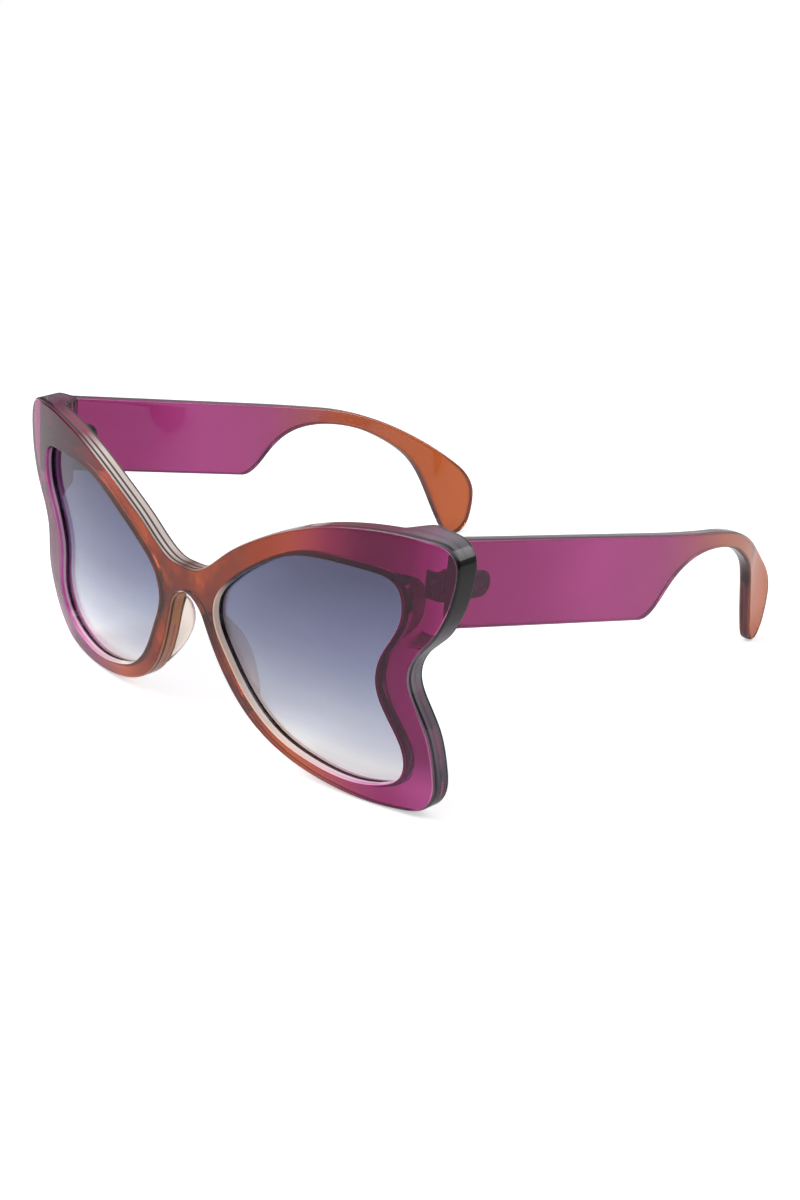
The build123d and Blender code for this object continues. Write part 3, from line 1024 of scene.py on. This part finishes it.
@dataclass(frozen=True)
class FrontPlastic(Finish):
    """Clear plastic with a face graded from brown at the nose to magenta wings."""

    name: str = "front_plastic"
    look: Moulding = Moulding(clear=0.88, specular=0.15)
    brow: Stops = (
        (0.00, "8b2f0f"), (0.25, "883218"), (0.35, "973713"), (0.45, "aa422f"), (0.52, "a13942"),
        (0.60, "841c44"), (0.69, "660039"), (0.78, "63003a"), (0.87, "76094c"), (0.94, "a42c73"),
        (1.00, "a8307c"),
    )
    waist: Stops = (
        (0.00, "802f1c"), (0.10, "7b3224"), (0.17, "8f2f1a"), (0.79, "751c51"), (0.87, "811f5a"),
        (1.00, "86235e"),
    )
    cheek: Stops = (
        (0.15, "8b2e16"), (0.23, "7e3015"), (0.33, "c1511e"), (0.44, "de6c3e"), (0.54, "d36066"),
        (0.64, "c04581"), (0.74, "b1367d"), (0.84, "c44e97"), (0.92, "c7519a"),
    )
    cheek_fade: Span = (0.005, 0.018)
    brow_fade: Span = (0.028, 0.050)
    nose_fade: Span = (0.36, 0.12)
    wander: Span = (35.0, 0.08)
    ember: Patches = Patches("cc5a20", 150.0, 2.0, (0.48, 0.60), 0.7)
    smoke: Patches = Patches("4c2a24", 95.0, 1.0, (0.50, 0.62), 0.6)
    # Painted shade: charcoal on the rounds between face and walls, darker still in the lens
    # groove and along the face's outer round
    wall: str = "2e262c"
    groove: str = "1c181c"
    # Painted highlight: a pale line on the outer round at the wing corners
    corner: str = "f0c4da"
    highlight_corner_fade: Span = (0.87, 0.92)
    highlight_edge_fade: Span = (0.03, 0.25)

    def paint(self, g: Graph) -> object:
        """Return the colour: three ramps, patches, painted shade lines on the edges and a painted
        highlight.
        """
        place = g.spot()
        x, _, z = g.split(place)
        across = g.drift(g.across(x), place, *self.wander)
        low, high = g.span(z, *self.cheek_fade), g.span(z, *self.brow_fade)
        graded = g.blend(low, g.ramp(across, self.cheek), g.ramp(across, self.waist))
        graded = g.blend(high, graded, g.ramp(across, self.brow))
        near = g.span(across, *self.nose_fade)
        for patches in (self.ember, self.smoke):
            graded = patches.over(g, place, near, graded)
        # Painted shade: the rounds go charcoal, and the fourth zone value darkens the groove and
        # a line along the outer round
        tint, outside, _, dark = g.zones()
        colour = g.blend(dark, g.blend(tint, self.wall, graded), self.groove)
        # Painted highlight on the outer round, near the wing corners
        corner = g.product(g.span(outside, *self.highlight_edge_fade), g.span(across, *self.highlight_corner_fade))
        return g.blend(corner, colour, self.corner)


@dataclass(frozen=True)
class FrontWall(Finish):
    """The front's outer wall: a painted charcoal reflection at the wing, brown at the nose, clear
    on top.
    """

    name: str = "front_wall"
    look: Moulding = Moulding(clear=0.3, specular=0.4)
    # Painted reflection of dark surroundings: dark grey low down, lighter grey at the waist, near
    # black at the top
    reflection_heights: Stops = (
        (0.00, "3e3a44"), (0.10, "4a4650"), (0.23, "6f6773"), (0.40, "7c7580"), (0.53, "928f96"),
        (0.60, "76747b"), (0.74, "2b292f"), (0.90, "1a181c"), (1.00, "1a181c"),
    )
    top: Stops = (
        (0.00, "8a5a50"), (0.10, "fbe9e4"), (0.48, "f6e2de"), (0.58, "9c3e58"), (0.80, "7c2350"),
        (0.90, "8b6a80"), (0.96, "77747c"), (1.00, "77747c"),
    )
    height: float = 0.066
    nose: str = "cc8a60"
    nose_fade: Span = (0.72, 0.45)
    streak: str = "b0607e"
    streak_rise: Span = (0.30, 0.36)
    streak_fall: Span = (0.56, 0.48)
    streak_top: Span = (0.036, 0.028)
    strands: Span = (180.0, 2.0)
    strand_fade: Span = (0.42, 0.58)
    top_fade: Span = (0.35, 0.8)
    # Painted shade: dark lines at the wall's front and back edges and along its middle
    line: str = "121014"
    shade_line_strength: float = 0.92
    front_shade_line: Span = (0.84, 0.91)
    back_shade_line: Span = (0.09, 0.03)
    middle_shade_rise: Span = (0.42, 0.49)
    middle_shade_fall: Span = (0.67, 0.60)
    middle_shade_up: Span = (0.1, 0.5)
    middle_shade_far: Span = (0.5, 0.62)
    middle_shade_broken: Span = (0.3, 0.1)

    def paint(self, g: Graph) -> object:
        """Return the colour: a painted reflection by height, streaked low down, with painted
        shade lines along the wall.
        """
        place = g.spot()
        x, _, z = g.split(place)
        *_, up = g.split(g.spot("Normal"))
        across = g.across(x)
        # Painted reflection of dark surroundings, by height
        colour = g.ramp(g.span(z, 0.0, self.height, smooth=False), self.reflection_heights)
        colour = g.blend(g.span(across, *self.nose_fade), colour, self.nose)
        *_, share = g.zones()
        strand = g.span(g.noise(place, *self.strands), *self.strand_fade)
        streak = g.band(share, self.streak_rise, self.streak_fall)
        streak = g.product(streak, strand, g.span(z, *self.streak_top))
        colour = g.blend(streak, colour, self.streak)
        colour = g.blend(g.span(up, *self.top_fade), colour, g.ramp(across, self.top))
        # Painted shade lines at the wall's front and back edges and along its middle
        edge = g.math("MAXIMUM", g.span(share, *self.front_shade_line), g.span(share, *self.back_shade_line))
        upward = g.product(g.span(up, *self.middle_shade_up), g.span(across, *self.middle_shade_far[::-1]))
        broken = g.span(strand, 0.0, 1.0, *self.middle_shade_broken, smooth=False)
        broken = g.product(g.span(across, *self.middle_shade_far), broken)
        middle = g.band(share, self.middle_shade_rise, self.middle_shade_fall)
        middle = g.product(middle, g.math("ADD", upward, broken))
        edge = g.product(g.math("MAXIMUM", edge, middle), self.shade_line_strength)
        return g.blend(edge, colour, self.line)


@dataclass(frozen=True)
class InnerWall(Finish):
    """The wall of a lens opening: cream at the nose, magenta at the wing, painted shade on top.
    """

    name: str = "inner_wall"
    look: Moulding = Moulding(flow=0.2)
    stops: Stops = (
        (0.12, "ffe0c8"), (0.35, "ffe4d2"), (0.52, "ffd3da"), (0.66, "f0a4d0"), (0.82, "de68b6"),
    )
    # Painted highlight: a pale stripe along the wall
    pale: str = "fbeef0"
    highlight_rise: Span = (0.40, 0.48)
    highlight_fall: Span = (0.74, 0.68)
    highlight_strength: float = 0.55
    # Painted shade on the top of the opening's wall, under the brow
    high: str = "2a2026"
    top_shade_fade: Span = (0.036, 0.041)
    top_shade_lean: float = 0.02
    # Painted shade: a dark line on the wall by the lens groove
    line: str = "121014"
    lens_shade_fade: Span = (0.76, 0.82)

    def paint(self, g: Graph) -> object:
        """Return the colour: a painted highlight stripe, painted shade on top and a painted shade
        line by the lens.
        """
        x, _, z = g.split(g.spot())
        across = g.across(x)
        *_, share = g.zones()
        # Painted highlight stripe along the wall
        stripe = g.product(g.band(share, self.highlight_rise, self.highlight_fall), self.highlight_strength)
        colour = g.blend(stripe, g.ramp(across, self.stops), self.pale)
        # Painted shade on the wall's top, under the brow
        climb = g.math("SUBTRACT", z, g.product(across, self.top_shade_lean))
        colour = g.blend(g.span(climb, *self.top_shade_fade), colour, self.high)
        # Painted shade line by the lens groove
        return g.blend(g.span(share, *self.lens_shade_fade), colour, self.line)


@dataclass(frozen=True)
class TemplePlastic(Finish):
    """Plastic graded from a magenta blade to an orange-brown ear part."""

    name: str = "temple_plastic"
    look: Moulding = Moulding(flow=0.2, clear=0.85, ior=1.49, specular=0.3)
    stops: Stops = (
        (0.00, "922566"), (0.15, "952a6c"), (0.32, "a93e81"), (0.50, "a24277"), (0.60, "a64f63"),
        (0.70, "ad5d45"), (0.82, "b55b34"), (1.00, "c26231"),
    )
    length: Span = (-0.055, 0.073)
    wander: Span = (40.0, 0.05)
    # Painted shade: dark lines on the top and lower edges, and near black on the butt against the
    # lug
    shade_edge_high: str = "4a3342"
    shade_edge_low: str = "3c1d32"
    butt: str = "1a171b"

    def paint(self, g: Graph) -> object:
        """Return the colour: one ramp along the temple, with painted shade on its edges and butt.
        """
        place = g.spot()
        _, y, _ = g.split(place)
        along = g.drift(g.span(y, *self.length, smooth=False), place, *self.wander)
        colour = g.ramp(along, self.stops)
        # Painted shade on the edges and the butt
        for zone, code in zip(g.zones()[1:], (self.shade_edge_high, self.shade_edge_low, self.butt)):
            colour = g.blend(zone, colour, code)
        return colour


@dataclass(frozen=True)
class LensGlass(Finish):
    """Tinted lens, dark at the brow and nearly clear at the cheek."""

    name: str = "lens"
    look: Moulding = Moulding(
        flow=0.04, gloss=0.0, haze=0.015, bump=0.05, clear=1.0, ior=1.5, specular=0.35
    )
    stops: Stops = (
        (0.00, "fbfbfb"), (0.09, "f9fafb"), (0.18, "d6d9e6"), (0.25, "c0c3d3"), (0.37, "a0a6bb"),
        (0.49, "8489a3"), (0.56, "787c99"), (0.72, "616382"), (0.85, "50506e"), (1.00, "454560"),
    )
    height: Span = (0.004, 0.062)
    wander: Span = (20.0, 0.03)
    # Painted shade on the lens edge, which sits in the groove
    rim: str = "24222a"

    def paint(self, g: Graph) -> object:
        """Return the colour: one ramp up the lens, and painted shade on its edge."""
        place = g.spot()
        *_, z = g.split(place)
        graded = g.drift(g.span(z, *self.height, smooth=False), place, *self.wander)
        # Painted shade on the edge
        return g.blend(g.zones()[3], g.ramp(graded, self.stops), self.rim)


@dataclass(frozen=True)
class PadPlastic(Finish):
    """Clear, slightly milky plastic of the nose pads, with painted shade along the crest."""

    name: str = "pad_plastic"
    look: Moulding = Moulding(flow=0.1, gloss=0.08, haze=0.12, bump=0.4, clear=0.88)
    colour: str = "fff1e6"
    # Painted shade: a dark line along the crest
    crest: str = "5a4440"

    def paint(self, g: Graph) -> object:
        """Return the colour."""
        # Painted shade line along the crest
        return g.blend(g.zones()[3], self.colour, self.crest)


@dataclass(frozen=True)
class HingeMetal(Finish):
    """Dark plated metal with fine brushing and brighter worn spots."""

    name: str = "hinge_metal"
    look: Moulding = Moulding(flow=0.3, gloss=0.28, haze=0.2, bump=0.5, ior=1.5, metal=1.0)
    dark: str = "3c3c42"
    bright: str = "77777d"
    wear: tuple[float, ...] = (900.0, 5.0, 0.65)
    wear_fade: Span = (0.45, 0.75)

    def paint(self, g: Graph) -> object:
        """Return the colour."""
        wear = g.span(g.noise(g.spot(), *self.wear), *self.wear_fade)
        return g.blend(wear, self.dark, self.bright)


@dataclass(frozen=True)
class ScrewMetal(HingeMetal):
    """The hinge screws' brighter metal."""

    name: str = "screw_metal"
    look: Moulding = Moulding(flow=0.3, gloss=0.2, haze=0.2, bump=0.5, ior=1.5, metal=1.0)
    dark: str = "8a8a8e"
    bright: str = "c9c9cb"


# The set


@dataclass
class Studio:
    """The floor, the lights and the camera around the glasses."""

    lens: float = 58.57
    sensor: float = 36.0
    clip: Span = (0.01, 20.0)
    place: Spot = (0.34448, -0.31702, 0.20698)
    azimuth: float = 47.924
    elevation: float = 22.42662
    roll: float = -1.01181
    floor_half: float = 3.0
    floor_drop: float = 0.0002
    floor_tones: tuple[tuple[float, ...], ...] = ((0.86, 0.86, 0.87, 1), (0.88, 0.88, 0.88, 1))
    floor_grain: Span = (60.0, 3.0)
    floor_fade: Span = (0.3, 0.7)
    floor_roughness: float = 0.9
    floor_glow: float = 0.5
    floor_through: float = 0.27
    sky: float = 0.62
    sky_dark: float = 0.1
    side_fade: Span = (0.45, 0.9)
    low_fade: Span = (0.75, 0.25)
    target: Spot = (0.0, 0.0, 0.03)
    lamps: tuple[tuple[str, Spot, Span, float], ...] = (
        ("lamp_key", (-0.35, -0.5, 0.75), (0.5, 0.5), 4.0),
        ("lamp_back", (0.5, 0.55, 0.6), (0.4, 0.6), 2.2),
    )

    def lay_floor(self) -> None:
        """Lay a plain pale floor that is white to the camera but keeps shadows."""
        mesh = bpy.data.meshes.new("floor")
        corners = [(-1, -1), (1, -1), (1, 1), (-1, 1)]
        points = [(x * self.floor_half, y * self.floor_half, 0) for x, y in corners]
        mesh.from_pydata(points, [], [(0, 1, 2, 3)])
        floor = put_in_scene("floor", mesh)
        floor.location.z = -self.floor_drop
        material, g, shader = start_material("floor_paper")
        paper = g.span(g.noise(g.spot(), *self.floor_grain), *self.floor_fade)
        path = g.add("ShaderNodeLightPath").outputs
        seen = g.product(path["Is Camera Ray"], self.floor_glow)
        through = g.product(path["Is Transmission Ray"], self.floor_through)
        for key, value in (
            ("Base Color", g.blend(paper, *self.floor_tones)),
            ("Roughness", self.floor_roughness),
            ("Specular IOR Level", 0.0),
            ("Emission Color", (1, 1, 1, 1)),
            ("Emission Strength", g.math("MAXIMUM", seen, through)),
        ):
            g.feed(shader[key], value)
        mesh.materials.append(material)

    def light(self) -> None:
        """Set a white surround with darker sides, and two soft lamps."""
        world = bpy.data.worlds.new("surround")
        bpy.context.scene.world = world
        world.use_nodes = True
        g = Graph(world.node_tree)
        surround = world.node_tree.nodes["Background"].inputs
        x, _, z = g.split(g.spot("Generated"))
        side = g.span(g.math("ABSOLUTE", x), *self.side_fade)
        flag = g.product(side, g.span(z, *self.low_fade))
        path = g.add("ShaderNodeLightPath").outputs
        seen = g.math("MAXIMUM", path["Is Glossy Ray"], path["Is Transmission Ray"])
        bright = g.blend(seen, (self.sky,) * 3 + (1,), (1, 1, 1, 1))
        level = g.product(g.span(flag, 0.0, 1.0, 1.0, self.sky_dark, smooth=False), bright)
        g.join(g.math("MAXIMUM", level, path["Is Camera Ray"]), surround["Strength"])
        surround["Color"].default_value = (1, 1, 1, 1)
        for name, spot, size, power in self.lamps:
            lamp = bpy.data.lights.new(name, "AREA")
            lamp.shape = "RECTANGLE"
            lamp.size, lamp.size_y = size
            lamp.energy = power
            holder = put_in_scene(name, lamp)
            holder.location = spot
            holder.rotation_mode = "QUATERNION"
            aim = Vector(self.target) - Vector(spot)
            holder.rotation_quaternion = aim.to_track_quat("-Z", "Y")

    def aim_camera(self) -> None:
        """Set the camera at the photograph's own place and angle."""
        a, e, r = (math.radians(v) for v in (self.azimuth, self.elevation, self.roll))
        back = Vector((math.sin(a) * math.cos(e), -math.cos(a) * math.cos(e), math.sin(e)))
        level = Vector((math.cos(a), math.sin(a), 0.0))
        upright = back.cross(level)
        right = level * math.cos(r) + upright * math.sin(r)
        up = upright * math.cos(r) - level * math.sin(r)
        data = bpy.data.cameras.new("camera")
        data.lens, data.sensor_width, data.sensor_fit = self.lens, self.sensor, "AUTO"
        data.clip_start, data.clip_end = self.clip
        camera = put_in_scene("camera", data)
        turn = Matrix((right, up, back)).transposed().to_4x4()
        camera.matrix_world = Matrix.Translation(self.place) @ turn
        bpy.context.scene.camera = camera


def dress(piece: bpy.types.Object, finishes: list[bpy.types.Material], body: str, slot: str,
          *nodes: str) -> None:
    """Give a piece its finishes and its body, and hide the nodes it stands for."""
    for finish in finishes:
        piece.data.materials.append(finish)
    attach(piece, body)
    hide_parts(*nodes)
    log.info("%s rides on %s, %d faces", piece.name, body, len(piece.data.polygons))


def main() -> None:
    """Build the glasses, their finishes and the set in order."""
    logging.basicConfig(level=logging.INFO, format="%(message)s")
    bpy.context.scene.view_settings.view_transform = "Standard"
    studio = Studio()
    studio.aim_camera()
    studio.lay_floor()
    studio.light()
    group = moulded_group()
    front_finishes = [kind().build(group) for kind in (FrontPlastic, FrontWall, InnerWall)]
    temple_finish = TemplePlastic().build(group)
    lens_finish = LensGlass().build(group)
    pad_finish = PadPlastic().build(group)
    hinge, screw = HingeMetal().build(group), ScrewMetal().build(group)
    front = Front(Face())
    dress(front.make(), front_finishes, "front", "front_plastic", "front_frame")
    for side in Side:
        word = side.word
        dress(Lens(front).make(side), [lens_finish], "front", "lens", f"lens_{word}")
        dress(NosePad(front).make(side), [pad_finish], "front", "pad_plastic", f"nose_pad_{word}")
        dress(Temple(front).make(side), [temple_finish], f"temple_{word}", "temple_plastic",
              f"temple_{word}")
    for name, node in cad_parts.items():
        if name.startswith("hinge"):
            node.data.materials.clear()
            node.data.materials.append(screw if "screw" in name else hinge)
            log.info("%s keeps its shape", name)


if __name__ == "__main__":
    main()
